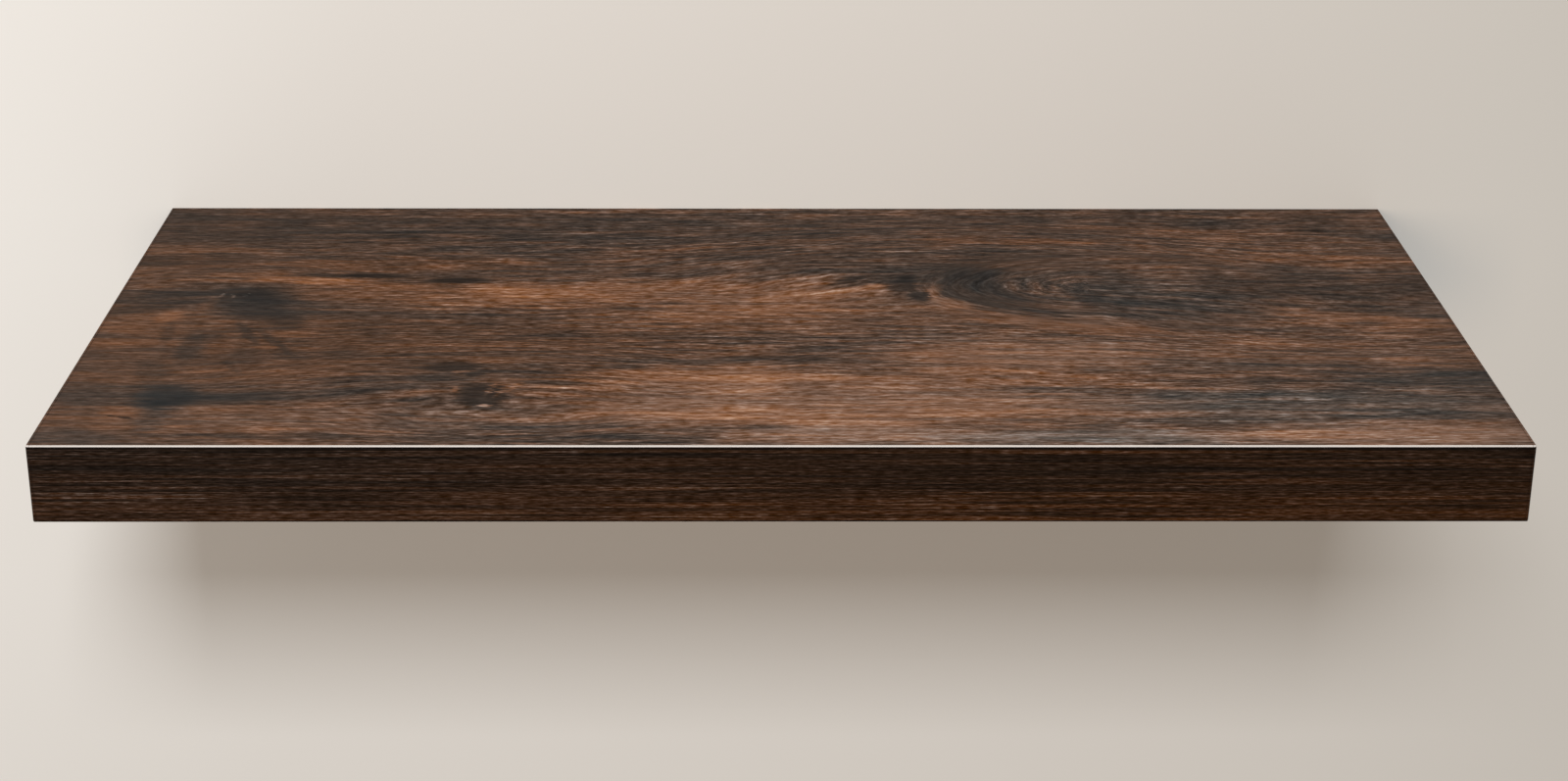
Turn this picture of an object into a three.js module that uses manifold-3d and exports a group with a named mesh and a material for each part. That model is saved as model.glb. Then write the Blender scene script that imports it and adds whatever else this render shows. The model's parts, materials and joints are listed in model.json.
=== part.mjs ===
// A floating wall shelf: a hollow-core board that slides onto a hidden steel bracket.
//
// Units are millimetres and +Z is up. The wall is the plane y = 0 and the shelf reaches
// towards -Y. The origin is the middle of the bracket plate's back face, which is also the
// board's mid height and mid width.

import * as THREE from "three";
import { mergeVertices } from "three/addons/utils/BufferGeometryUtils.js";
import Module from "manifold-3d";

const wasm = await Module();
wasm.setup();

// Board, overall
const SHELF_WIDTH = 900;
const SHELF_DEPTH = 450;
const SHELF_THICKNESS = 50;

// Board, covering: foil round the top, front and bottom, and a band on each end
const FOIL_THICKNESS = 0.4;
const FRONT_ARRIS_RADIUS = 1.2; // outside of the foil where it turns onto the front
const END_BAND_THICKNESS = 2;
const END_TOP_RADIUS = 0.8;
const END_BOTTOM_RADIUS = 1.8;
const LARGEST_EASING_SHARE = 0.9; // of the band's thickness that an eased edge may take

// Board, structure
const SKIN_THICKNESS = 4;
const GLUE_LINE = 0.2; // gap left at every glued joint
const FRONT_RAIL_WIDTH = 30;
const END_RAIL_WIDTH = 30;
const BACK_RAIL_WIDTH = 30;
const RECESS_DEPTH = 12; // from the wall to the back rails, room for plate and screw heads
const BATTEN_WIDTH = 18; // each side of a tube channel

// Board, honeycomb core
const CELL_SIZE = 42; // nominal, across the flats, from wall centre to wall centre
const CELL_WALL = 0.8;
const CORE_CLEARANCE = 0.5; // round each panel

// Bracket, support tubes
const CHANNEL_NAMES = ["left", "centre", "right"];
const TUBE_END_MARGIN = 150; // from the board's end to the first tube's axis
const TUBE_DIAMETER = 18;
const TUBE_WALL = 2;
const TUBE_LENGTH = 320;
const TUBE_CLEARANCE = 0.5; // from tube to channel, all round

// Bracket, plate
const PLATE_THICKNESS = 4;
const PLATE_EDGE_CLEARANCE = 2; // above and below, to the skins
const PLATE_END_CLEARANCE = 8; // sideways, to the end rails
const PLATE_CORNER_RADIUS = 4;
const SLOT_WIDTH = 7; // for a 6 mm wall screw
const SLOT_LENGTH = 20;
const SLOT_SPACING = 406; // between the inner slots, one 16 inch stud bay
const SLOT_END_MARGIN = 25; // from the plate's end to the outer slot's middle

// Bracket, welds and plugs
const WELD_LEG = 3;
const WELD_GAP = 0.2; // between the weld and the two pieces that it joins
const PLUG_HEAD_LENGTH = 3;
const PLUG_STEM_LENGTH = 10;
const PLUG_CLEARANCE = 0.3; // from stem to tube
const PLUG_SEAT_GAP = 0.2; // from head to the tube's end
const PLUG_EDGE_RADIUS = 2;

// Locking: M6 set screws in threaded inserts, from the underside up to the outer tubes
const LOCK_CHANNELS = ["left", "right"];
const LOCK_SETBACK = 60; // from the wall
const SCREW_DIAMETER = 6;
const SCREW_RECESS = 3.7; // from the underside to the screw's lower end
const SCREW_TIP_GAP = 0.3; // from tip to tube
const SCREW_CHAMFER = 0.8;
const SOCKET_ACROSS_FLATS = 3;
const SOCKET_DEPTH = 5;
const THREAD_CLEARANCE = 0.3; // from screw to insert
const INSERT_DIAMETER = 10;
const INSERT_SETBACK = 0.5; // from the underside
const INSERT_COVER = 1; // from the insert's top to the channel's floor
const INSERT_CHAMFER = 0.6;
const INSERT_CLEARANCE = 0.3; // from insert to its hole

// Drawing quality
const ARC_STEPS = 6; // in a quarter of an eased edge
const ROUND_STEPS = 32; // round a tube, plug or screw
const CUT_OVERRUN = 1; // how far a cutting tool runs past the face that it leaves

// Derived places, shared by the pieces
const halfThickness = SHELF_THICKNESS / 2;
const boardHalfWidth = SHELF_WIDTH / 2 - END_BAND_THICKNESS - GLUE_LINE;
const skinOuter = halfThickness - FOIL_THICKNESS - GLUE_LINE;
const skinInner = skinOuter - SKIN_THICKNESS;
const coreHalf = skinInner - GLUE_LINE;
const boardFront = -(SHELF_DEPTH - FOIL_THICKNESS - GLUE_LINE);
const coreFront = boardFront + FRONT_RAIL_WIDTH + GLUE_LINE;
const endRailInner = boardHalfWidth - END_RAIL_WIDTH;
const channelHalf = TUBE_DIAMETER / 2 + TUBE_CLEARANCE;
const channelOuter = channelHalf + BATTEN_WIDTH;
const recessFront = -RECESS_DEPTH;
const plateFront = -PLATE_THICKNESS;
const tubeRoot = plateFront - WELD_GAP;
const tubeTip = tubeRoot - TUBE_LENGTH;
const insertHoleRadius = INSERT_DIAMETER / 2 + INSERT_CLEARANCE;

const outerTube = SHELF_WIDTH / 2 - TUBE_END_MARGIN;
const tubePitch = (2 * outerTube) / (CHANNEL_NAMES.length - 1);
const channels = CHANNEL_NAMES.map((name, i) => ({ name, x: i * tubePitch - outerTube }));
const lockChannels = channels.filter((channel) => LOCK_CHANNELS.includes(channel.name));

// Materials

const finish = (color, roughness, metalness = 0) =>
  new THREE.MeshStandardMaterial({ color, roughness, metalness });

const decorFoil = finish(0x4a3226, 0.5);
const decorBand = finish(0x38251b, 0.5);
const fibreboard = finish(0x8a6a48, 0.85);
const particleboard = finish(0xb8976a, 0.9);
const pine = finish(0xd2ab74, 0.8);
const corePaper = finish(0xb59a74, 0.95);
const blackSteel = finish(0x1c1c1e, 0.45, 0.3);
const weldSteel = finish(0x232325, 0.5, 0.3);
const blackPlastic = finish(0x141414, 0.55);
const brass = finish(0xb08d4c, 0.35, 1);
const screwSteel = finish(0x55565a, 0.35, 1);

// Geometry helpers

// A solid for cutting and joining, made from a closed three.js geometry.
function solidFrom(geometry) {
  const bare = geometry.clone();
  bare.deleteAttribute("normal");
  bare.deleteAttribute("uv");
  const merged = mergeVertices(bare);
  return new wasm.Manifold(
    new wasm.Mesh({
      numProp: 3,
      vertProperties: new Float32Array(merged.attributes.position.array),
      triVerts: new Uint32Array(merged.index.array),
    }),
  );
}

function geometryFrom(solid) {
  const mesh = solid.getMesh();
  const geometry = new THREE.BufferGeometry()
    .setAttribute("position", new THREE.BufferAttribute(mesh.vertProperties, 3))
    .setIndex(new THREE.BufferAttribute(mesh.triVerts, 1));
  geometry.computeVertexNormals();
  return geometry;
}

function boxGeometry([x0, x1], [y0, y1], [z0, z1]) {
  return new THREE.BoxGeometry(x1 - x0, y1 - y0, z1 - z0).translate(
    (x0 + x1) / 2,
    (y0 + y1) / 2,
    (z0 + z1) / 2,
  );
}

// An outline in (y, z), extruded along X.
function alongX(outline, x0, x1) {
  return new THREE.ExtrudeGeometry(outline, {
    depth: x1 - x0,
    bevelEnabled: false,
    curveSegments: ARC_STEPS,
  })
    .applyMatrix4(
      new THREE.Matrix4().makeBasis(
        new THREE.Vector3(0, 1, 0),
        new THREE.Vector3(0, 0, 1),
        new THREE.Vector3(1, 0, 0),
      ),
    )
    .translate(x0, 0, 0);
}

// An outline in (x, z), extruded along Y.
function alongY(outline, y0, y1) {
  return new THREE.ExtrudeGeometry(outline, {
    depth: y1 - y0,
    bevelEnabled: false,
    curveSegments: ARC_STEPS,
  })
    .rotateX(Math.PI / 2)
    .translate(0, y1, 0);
}

// An outline in (x, y), extruded along Z.
function alongZ(outline, z0, z1) {
  return new THREE.ExtrudeGeometry(outline, {
    depth: z1 - z0,
    bevelEnabled: false,
    curveSegments: ARC_STEPS,
  }).translate(0, 0, z0);
}

// A profile of [radius, height] pairs turned round the Y axis; it starts and ends on the
// axis, or closes on itself.
function turned(profile) {
  return new THREE.LatheGeometry(
    profile.map(([radius, height]) => new THREE.Vector2(radius, height)),
    ROUND_STEPS,
  );
}

// The same round the Z axis.
function turnedUpright(profile) {
  return turned(profile).rotateX(Math.PI / 2);
}

function ringProfile(innerRadius, outerRadius, low, high) {
  return [
    [innerRadius, low],
    [outerRadius, low],
    [outerRadius, high],
    [innerRadius, high],
    [innerRadius, low],
  ];
}

// A vertical prism or cylinder for cutting, round the point (x, y).
function verticalTool(radius, sides, x, y, z0, z1) {
  return new THREE.CylinderGeometry(radius, radius, z1 - z0, sides)
    .rotateX(Math.PI / 2)
    .translate(x, y, (z0 + z1) / 2);
}

const easedRadius = (radius) => Math.min(radius, END_BAND_THICKNESS * LARGEST_EASING_SHARE);

function piece(name, geometry, material) {
  const mesh = new THREE.Mesh(geometry, material);
  mesh.name = name;
  return mesh;
}

// Holes through the underside for the two threaded inserts

function withInsertHoles(geometry, holeChannels = lockChannels) {
  const holes = holeChannels.map(({ x }) =>
    solidFrom(
      verticalTool(
        insertHoleRadius,
        ROUND_STEPS,
        x,
        -LOCK_SETBACK,
        -halfThickness - CUT_OVERRUN,
        0,
      ),
    ),
  );
  return geometryFrom(holes.reduce((rest, hole) => rest.subtract(hole), solidFrom(geometry)));
}

// Covering

function foilWrap() {
  const top = halfThickness;
  const radius = FRONT_ARRIS_RADIUS;
  const inner = radius - FOIL_THICKNESS;
  const arcY = radius - SHELF_DEPTH;
  const arcZ = top - radius;
  const outline = new THREE.Shape()
    .moveTo(0, top)
    .lineTo(arcY, top)
    .absarc(arcY, arcZ, radius, Math.PI / 2, Math.PI, false)
    .lineTo(-SHELF_DEPTH, -arcZ)
    .absarc(arcY, -arcZ, radius, Math.PI, 1.5 * Math.PI, false)
    .lineTo(0, -top)
    .lineTo(0, FOIL_THICKNESS - top)
    .lineTo(arcY, FOIL_THICKNESS - top)
    .absarc(arcY, -arcZ, inner, 1.5 * Math.PI, Math.PI, true)
    .lineTo(FOIL_THICKNESS - SHELF_DEPTH, arcZ)
    .absarc(arcY, arcZ, inner, Math.PI, Math.PI / 2, true)
    .lineTo(0, top - FOIL_THICKNESS);
  const sheet = withInsertHoles(alongX(outline, -boardHalfWidth, boardHalfWidth));
  return piece("foil_wrap", sheet, decorFoil);
}

// The band is built on the right; the left one is its mirror image.
function endBand(name, side) {
  const outer = SHELF_WIDTH / 2;
  const inner = outer - END_BAND_THICKNESS;
  const topRadius = easedRadius(END_TOP_RADIUS);
  const bottomRadius = easedRadius(END_BOTTOM_RADIUS);
  const frontRadius = easedRadius(FRONT_ARRIS_RADIUS);
  const elevation = new THREE.Shape()
    .moveTo(inner, halfThickness)
    .lineTo(inner, -halfThickness)
    .lineTo(outer - bottomRadius, -halfThickness)
    .absarc(outer - bottomRadius, bottomRadius - halfThickness, bottomRadius, -Math.PI / 2, 0)
    .lineTo(outer, halfThickness - topRadius)
    .absarc(outer - topRadius, halfThickness - topRadius, topRadius, 0, Math.PI / 2);
  const plan = new THREE.Shape()
    .moveTo(inner, 0)
    .lineTo(inner, -SHELF_DEPTH)
    .lineTo(outer - frontRadius, -SHELF_DEPTH)
    .absarc(outer - frontRadius, frontRadius - SHELF_DEPTH, frontRadius, -Math.PI / 2, 0)
    .lineTo(outer, 0);
  const arrisY = FRONT_ARRIS_RADIUS - SHELF_DEPTH;
  const arrisZ = halfThickness - FRONT_ARRIS_RADIUS;
  const section = new THREE.Shape()
    .moveTo(0, halfThickness)
    .lineTo(arrisY, halfThickness)
    .absarc(arrisY, arrisZ, FRONT_ARRIS_RADIUS, Math.PI / 2, Math.PI)
    .lineTo(-SHELF_DEPTH, -arrisZ)
    .absarc(arrisY, -arrisZ, FRONT_ARRIS_RADIUS, Math.PI, 1.5 * Math.PI)
    .lineTo(0, -halfThickness);
  const solid = solidFrom(alongY(elevation, -SHELF_DEPTH, 0))
    .intersect(solidFrom(alongZ(plan, -halfThickness, halfThickness)))
    .intersect(solidFrom(alongX(section, inner, outer)));
  const band = piece(name, geometryFrom(solid), decorBand);
  band.scale.x = side;
  return band;
}

// Skins and frame

function skinSheet() {
  const radius = FRONT_ARRIS_RADIUS - FOIL_THICKNESS - GLUE_LINE;
  const outline = new THREE.Shape()
    .moveTo(0, skinOuter)
    .lineTo(boardFront + radius, skinOuter)
    .absarc(boardFront + radius, skinOuter - radius, radius, Math.PI / 2, Math.PI, false)
    .lineTo(boardFront, skinInner)
    .lineTo(0, skinInner);
  return alongX(outline, -boardHalfWidth, boardHalfWidth);
}

function topSkin() {
  return piece("top_skin", skinSheet(), fibreboard);
}

function bottomSkin() {
  const sheet = skinSheet().rotateY(Math.PI);
  return piece("bottom_skin", withInsertHoles(sheet), fibreboard);
}

function corePiece(name, xSpan, ySpan, material, zSpan = [-coreHalf, coreHalf]) {
  return piece(name, boxGeometry(xSpan, ySpan, zSpan), material);
}

function frame() {
  const frontRail = corePiece(
    "front_rail",
    [-boardHalfWidth, boardHalfWidth],
    [boardFront, boardFront + FRONT_RAIL_WIDTH],
    particleboard,
  );
  const leftEndRail = corePiece(
    "left_end_rail",
    [-boardHalfWidth, -endRailInner],
    [coreFront, 0],
    particleboard,
  );
  const rightEndRail = corePiece(
    "right_end_rail",
    [endRailInner, boardHalfWidth],
    [coreFront, 0],
    particleboard,
  );
  return [frontRail, leftEndRail, rightEndRail];
}

// The spaces between the end rails and the tube channels, from left to right.
function bays() {
  const starts = [-endRailInner, ...channels.map(({ x }) => x + channelOuter)];
  const ends = [...channels.map(({ x }) => x - channelOuter), endRailInner];
  return starts.map((start, i) => [start, ends[i]]);
}

function backRail(name, [left, right]) {
  return corePiece(
    name,
    [left + GLUE_LINE, right - GLUE_LINE],
    [recessFront - BACK_RAIL_WIDTH, recessFront],
    particleboard,
  );
}

// Two sides, a roof and a floor round one square channel. The floor is drilled where a
// threaded insert passes through it.
function channel({ name, x }) {
  const ySpan = [coreFront, recessFront];
  const inner = channelHalf - GLUE_LINE;
  const roof = [channelHalf, coreHalf];
  const floor = [-coreHalf, -channelHalf];
  const parts = [
    corePiece(`${name}_channel_left_side`, [x - channelOuter, x - channelHalf], ySpan, pine),
    corePiece(`${name}_channel_right_side`, [x + channelHalf, x + channelOuter], ySpan, pine),
    corePiece(`${name}_channel_roof`, [x - inner, x + inner], ySpan, pine, roof),
    corePiece(`${name}_channel_floor`, [x - inner, x + inner], ySpan, pine, floor),
  ];
  const drilled = lockChannels.filter((lock) => lock.name === name);
  const floorPiece = parts.at(-1);
  if (drilled.length) floorPiece.geometry = withInsertHoles(floorPiece.geometry, drilled);
  return parts;
}

// Honeycomb

// A block with hexagonal cells cut through it. The core is spread to a whole number of
// cells across its bay, and every other row has half cells at both sides. Where an edge
// leaves a scrap of wall at a corner, the scrap falls away.
function honeycomb(name, [left, right]) {
  const xSpan = [left + CORE_CLEARANCE, right - CORE_CLEARANCE];
  const ySpan = [coreFront + CORE_CLEARANCE, recessFront - BACK_RAIL_WIDTH - CORE_CLEARANCE];
  const columns = Math.max(1, Math.round((xSpan[1] - xSpan[0]) / CELL_SIZE));
  const cellSize = (xSpan[1] - xSpan[0]) / columns;
  const rowPitch = (cellSize * Math.sqrt(3)) / 2;
  const rows = Math.ceil((ySpan[1] - ySpan[0]) / rowPitch) + 1;
  let solid = solidFrom(boxGeometry(xSpan, ySpan, [-coreHalf, coreHalf]));
  for (let row = 0; row < rows; row++) {
    const offset = row % 2 ? 0 : cellSize / 2;
    for (let column = 0; column <= columns; column++) {
      const cell = verticalTool(
        (cellSize - CELL_WALL) / Math.sqrt(3),
        6,
        xSpan[0] + column * cellSize + offset,
        ySpan[0] + (row + 0.5) * rowPitch,
        -coreHalf - CUT_OVERRUN,
        coreHalf + CUT_OVERRUN,
      );
      solid = solid.subtract(solidFrom(cell));
    }
  }
  const bodies = solid.decompose().sort((a, b) => b.volume() - a.volume());
  return piece(name, geometryFrom(bodies[0]), corePaper);
}

// Bracket

function wallPlate() {
  const halfLength = endRailInner - PLATE_END_CLEARANCE;
  const halfHeight = skinInner - PLATE_EDGE_CLEARANCE;
  const cornerX = halfLength - PLATE_CORNER_RADIUS;
  const cornerZ = halfHeight - PLATE_CORNER_RADIUS;
  const outline = new THREE.Shape()
    .moveTo(halfLength, -cornerZ)
    .lineTo(halfLength, cornerZ)
    .absarc(cornerX, cornerZ, PLATE_CORNER_RADIUS, 0, Math.PI / 2)
    .lineTo(-cornerX, halfHeight)
    .absarc(-cornerX, cornerZ, PLATE_CORNER_RADIUS, Math.PI / 2, Math.PI)
    .lineTo(-halfLength, -cornerZ)
    .absarc(-cornerX, -cornerZ, PLATE_CORNER_RADIUS, Math.PI, 1.5 * Math.PI)
    .lineTo(cornerX, -halfHeight)
    .absarc(cornerX, -cornerZ, PLATE_CORNER_RADIUS, 1.5 * Math.PI, 2 * Math.PI);
  const outerSlot = halfLength - SLOT_END_MARGIN;
  const slotRadius = SLOT_WIDTH / 2;
  const reach = SLOT_LENGTH / 2 - slotRadius;
  [-outerSlot, -SLOT_SPACING / 2, SLOT_SPACING / 2, outerSlot].forEach((x) => {
    outline.holes.push(
      new THREE.Path()
        .moveTo(x - reach, slotRadius)
        .absarc(x - reach, 0, slotRadius, Math.PI / 2, 1.5 * Math.PI)
        .lineTo(x + reach, -slotRadius)
        .absarc(x + reach, 0, slotRadius, -Math.PI / 2, Math.PI / 2),
    );
  });
  return piece("wall_plate", alongY(outline, plateFront, 0), blackSteel);
}

function supportTube({ name, x }) {
  const radius = TUBE_DIAMETER / 2;
  const tube = turned(ringProfile(radius - TUBE_WALL, radius, tubeTip, tubeRoot));
  return piece(`support_tube_${name}`, tube.translate(x, 0, 0), blackSteel);
}

// A fillet weld: a triangular ring in the corner between tube and plate.
function weldRing({ name, x }) {
  const radius = TUBE_DIAMETER / 2 + WELD_GAP;
  const ring = turned([
    [radius, tubeRoot - WELD_LEG],
    [radius + WELD_LEG, tubeRoot],
    [radius, tubeRoot],
    [radius, tubeRoot - WELD_LEG],
  ]);
  return piece(`weld_ring_${name}`, ring.translate(x, 0, 0), weldSteel);
}

function tubePlug({ name, x }) {
  const headRadius = TUBE_DIAMETER / 2;
  const stemRadius = headRadius - TUBE_WALL - PLUG_CLEARANCE;
  const headBack = tubeTip - PLUG_SEAT_GAP;
  const headFront = headBack - PLUG_HEAD_LENGTH;
  const arcRadius = Math.min(PLUG_EDGE_RADIUS, PLUG_HEAD_LENGTH * LARGEST_EASING_SHARE);
  const roundedEdge = Array.from({ length: ARC_STEPS + 1 }, (_, i) => {
    const angle = (i / ARC_STEPS) * (Math.PI / 2);
    return [
      headRadius - arcRadius + arcRadius * Math.sin(angle),
      headFront + arcRadius - arcRadius * Math.cos(angle),
    ];
  });
  const plug = turned([
    [0, headFront],
    ...roundedEdge,
    [headRadius, headBack],
    [stemRadius, headBack],
    [stemRadius, headBack + PLUG_STEM_LENGTH],
    [0, headBack + PLUG_STEM_LENGTH],
  ]);
  return piece(`tube_plug_${name}`, plug.translate(x, 0, 0), blackPlastic);
}

// Locking

function threadedInsert({ name, x }) {
  const low = INSERT_SETBACK - halfThickness;
  const high = -channelHalf - INSERT_COVER;
  const outer = INSERT_DIAMETER / 2;
  const inner = SCREW_DIAMETER / 2 + THREAD_CLEARANCE;
  const insert = turnedUpright([
    [inner, low],
    [outer - INSERT_CHAMFER, low],
    [outer, low + INSERT_CHAMFER],
    [outer, high - INSERT_CHAMFER],
    [outer - INSERT_CHAMFER, high],
    [inner, high],
    [inner, low],
  ]);
  return piece(`threaded_insert_${name}`, insert.translate(x, -LOCK_SETBACK, 0), brass);
}

function lockScrew({ name, x }) {
  const low = SCREW_RECESS - halfThickness;
  const high = -TUBE_DIAMETER / 2 - SCREW_TIP_GAP;
  const radius = SCREW_DIAMETER / 2;
  const shank = turnedUpright([
    [0, low],
    [radius - SCREW_CHAMFER, low],
    [radius, low + SCREW_CHAMFER],
    [radius, high - SCREW_CHAMFER],
    [radius - SCREW_CHAMFER, high],
    [0, high],
  ]);
  const socket = verticalTool(
    SOCKET_ACROSS_FLATS / Math.sqrt(3),
    6,
    0,
    0,
    low - CUT_OVERRUN,
    low + SOCKET_DEPTH,
  );
  const screw = geometryFrom(solidFrom(shank).subtract(solidFrom(socket)));
  return piece(`lock_screw_${name}`, screw.translate(x, -LOCK_SETBACK, 0), screwSteel);
}

// Assembly

const board = new THREE.Group();
board.add(
  foilWrap(),
  endBand("left_end_band", -1),
  endBand("right_end_band", 1),
  topSkin(),
  bottomSkin(),
  ...frame(),
  ...channels.flatMap(channel),
  ...bays().map((bay, i) => backRail(`back_rail_${i + 1}`, bay)),
  ...bays().map((bay, i) => honeycomb(`honeycomb_${i + 1}`, bay)),
  ...lockChannels.map(threadedInsert),
  ...lockChannels.map(lockScrew),
);

const bracket = new THREE.Group();
bracket.add(
  wallPlate(),
  ...channels.map(supportTube),
  ...channels.map(weldRing),
  ...channels.map(tubePlug),
);

const shelf = new THREE.Group();
shelf.add(board, bracket);

export default shelf;
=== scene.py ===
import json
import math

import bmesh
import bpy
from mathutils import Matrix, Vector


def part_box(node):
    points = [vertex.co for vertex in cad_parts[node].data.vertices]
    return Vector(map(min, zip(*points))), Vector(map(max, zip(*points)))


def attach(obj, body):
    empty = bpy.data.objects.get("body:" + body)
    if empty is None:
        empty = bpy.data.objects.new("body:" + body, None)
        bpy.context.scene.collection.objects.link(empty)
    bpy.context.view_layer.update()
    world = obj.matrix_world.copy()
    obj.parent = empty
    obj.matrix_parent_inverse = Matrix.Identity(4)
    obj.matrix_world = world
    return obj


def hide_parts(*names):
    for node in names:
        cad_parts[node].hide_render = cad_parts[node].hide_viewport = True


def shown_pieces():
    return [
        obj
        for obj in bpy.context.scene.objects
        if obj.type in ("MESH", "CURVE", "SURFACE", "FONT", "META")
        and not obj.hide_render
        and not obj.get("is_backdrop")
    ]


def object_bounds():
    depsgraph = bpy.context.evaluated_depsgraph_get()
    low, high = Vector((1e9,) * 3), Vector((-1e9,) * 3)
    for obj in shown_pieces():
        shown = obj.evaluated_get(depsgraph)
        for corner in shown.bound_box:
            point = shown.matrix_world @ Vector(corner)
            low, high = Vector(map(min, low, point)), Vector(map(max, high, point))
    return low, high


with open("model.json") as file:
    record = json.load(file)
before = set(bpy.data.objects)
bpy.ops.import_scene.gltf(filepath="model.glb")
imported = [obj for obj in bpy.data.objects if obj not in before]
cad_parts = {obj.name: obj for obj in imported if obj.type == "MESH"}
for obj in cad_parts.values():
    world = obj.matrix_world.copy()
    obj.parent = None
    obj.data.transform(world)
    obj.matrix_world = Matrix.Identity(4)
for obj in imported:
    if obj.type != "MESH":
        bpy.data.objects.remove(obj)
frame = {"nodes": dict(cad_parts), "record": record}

# Dresses the floating shelf: a foil-wrapped board on a hidden steel bracket.
#
# Objects, lamps and the camera are in metres. Patterns, their tables and the finer pieces are
# in millimetres, in the shelf's own frame: x along the width, y from the wall (0) to the
# front (-450), z up from mid height.

cad_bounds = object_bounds()

M = 1.0
MM = 0.001 * M
PER_METRE = 1000.0

SHELF_LOW, SHELF_HIGH = (Vector(corner) / MM for corner in cad_bounds)
FRONT_Y = SHELF_LOW.y
TOP_Z = SHELF_HIGH.z
BOTTOM_Z = SHELF_LOW.z

# Camera, solved from the six corners that the photograph shows
CAMERA_PLACE = (-0.0195, -1.9606, 0.6710)
CAMERA_TURN_DEG = (67.996, -0.266, -0.638)
CAMERA_LENS_MM = 63.38
CAMERA_SENSOR_MM = 36.0


def linear(*srgb):
    """A colour given in 0 to 255 sRGB, as the linear RGBA that a shader takes."""
    return tuple(
        v / 12.92 if v <= 0.04045 else ((v + 0.055) / 1.055) ** 2.4
        for v in (channel / 255 for channel in srgb)
    ) + (1.0,)


# Node building

# An ellipse is half faded at this share of its half width in from its rim. A soft and a
# crisp one fade over these shares on either side of that.
RIM_SHARE = 0.35
SOFT_SHARE = 0.35
CRISP_SHARE = 0.27


class Field:
    """A number, vector or colour over a surface. Arithmetic on it adds math nodes."""

    def __init__(self, surface, socket):
        self.surface = surface
        self.socket = socket

    def math(self, operation, *others):
        return self.surface.math(operation, self, *others)

    def __add__(self, other):
        return self.math("ADD", other)

    def __sub__(self, other):
        return self.math("SUBTRACT", other)

    def __mul__(self, other):
        return self.math("MULTIPLY", other)

    def __truediv__(self, other):
        return self.math("DIVIDE", other)

    def __neg__(self):
        return self.math("MULTIPLY", -1.0)

    def __radd__(self, other):
        return self.math("ADD", other)

    def __rmul__(self, other):
        return self.math("MULTIPLY", other)

    def __rsub__(self, other):
        return self.surface.math("SUBTRACT", other, self)


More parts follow.
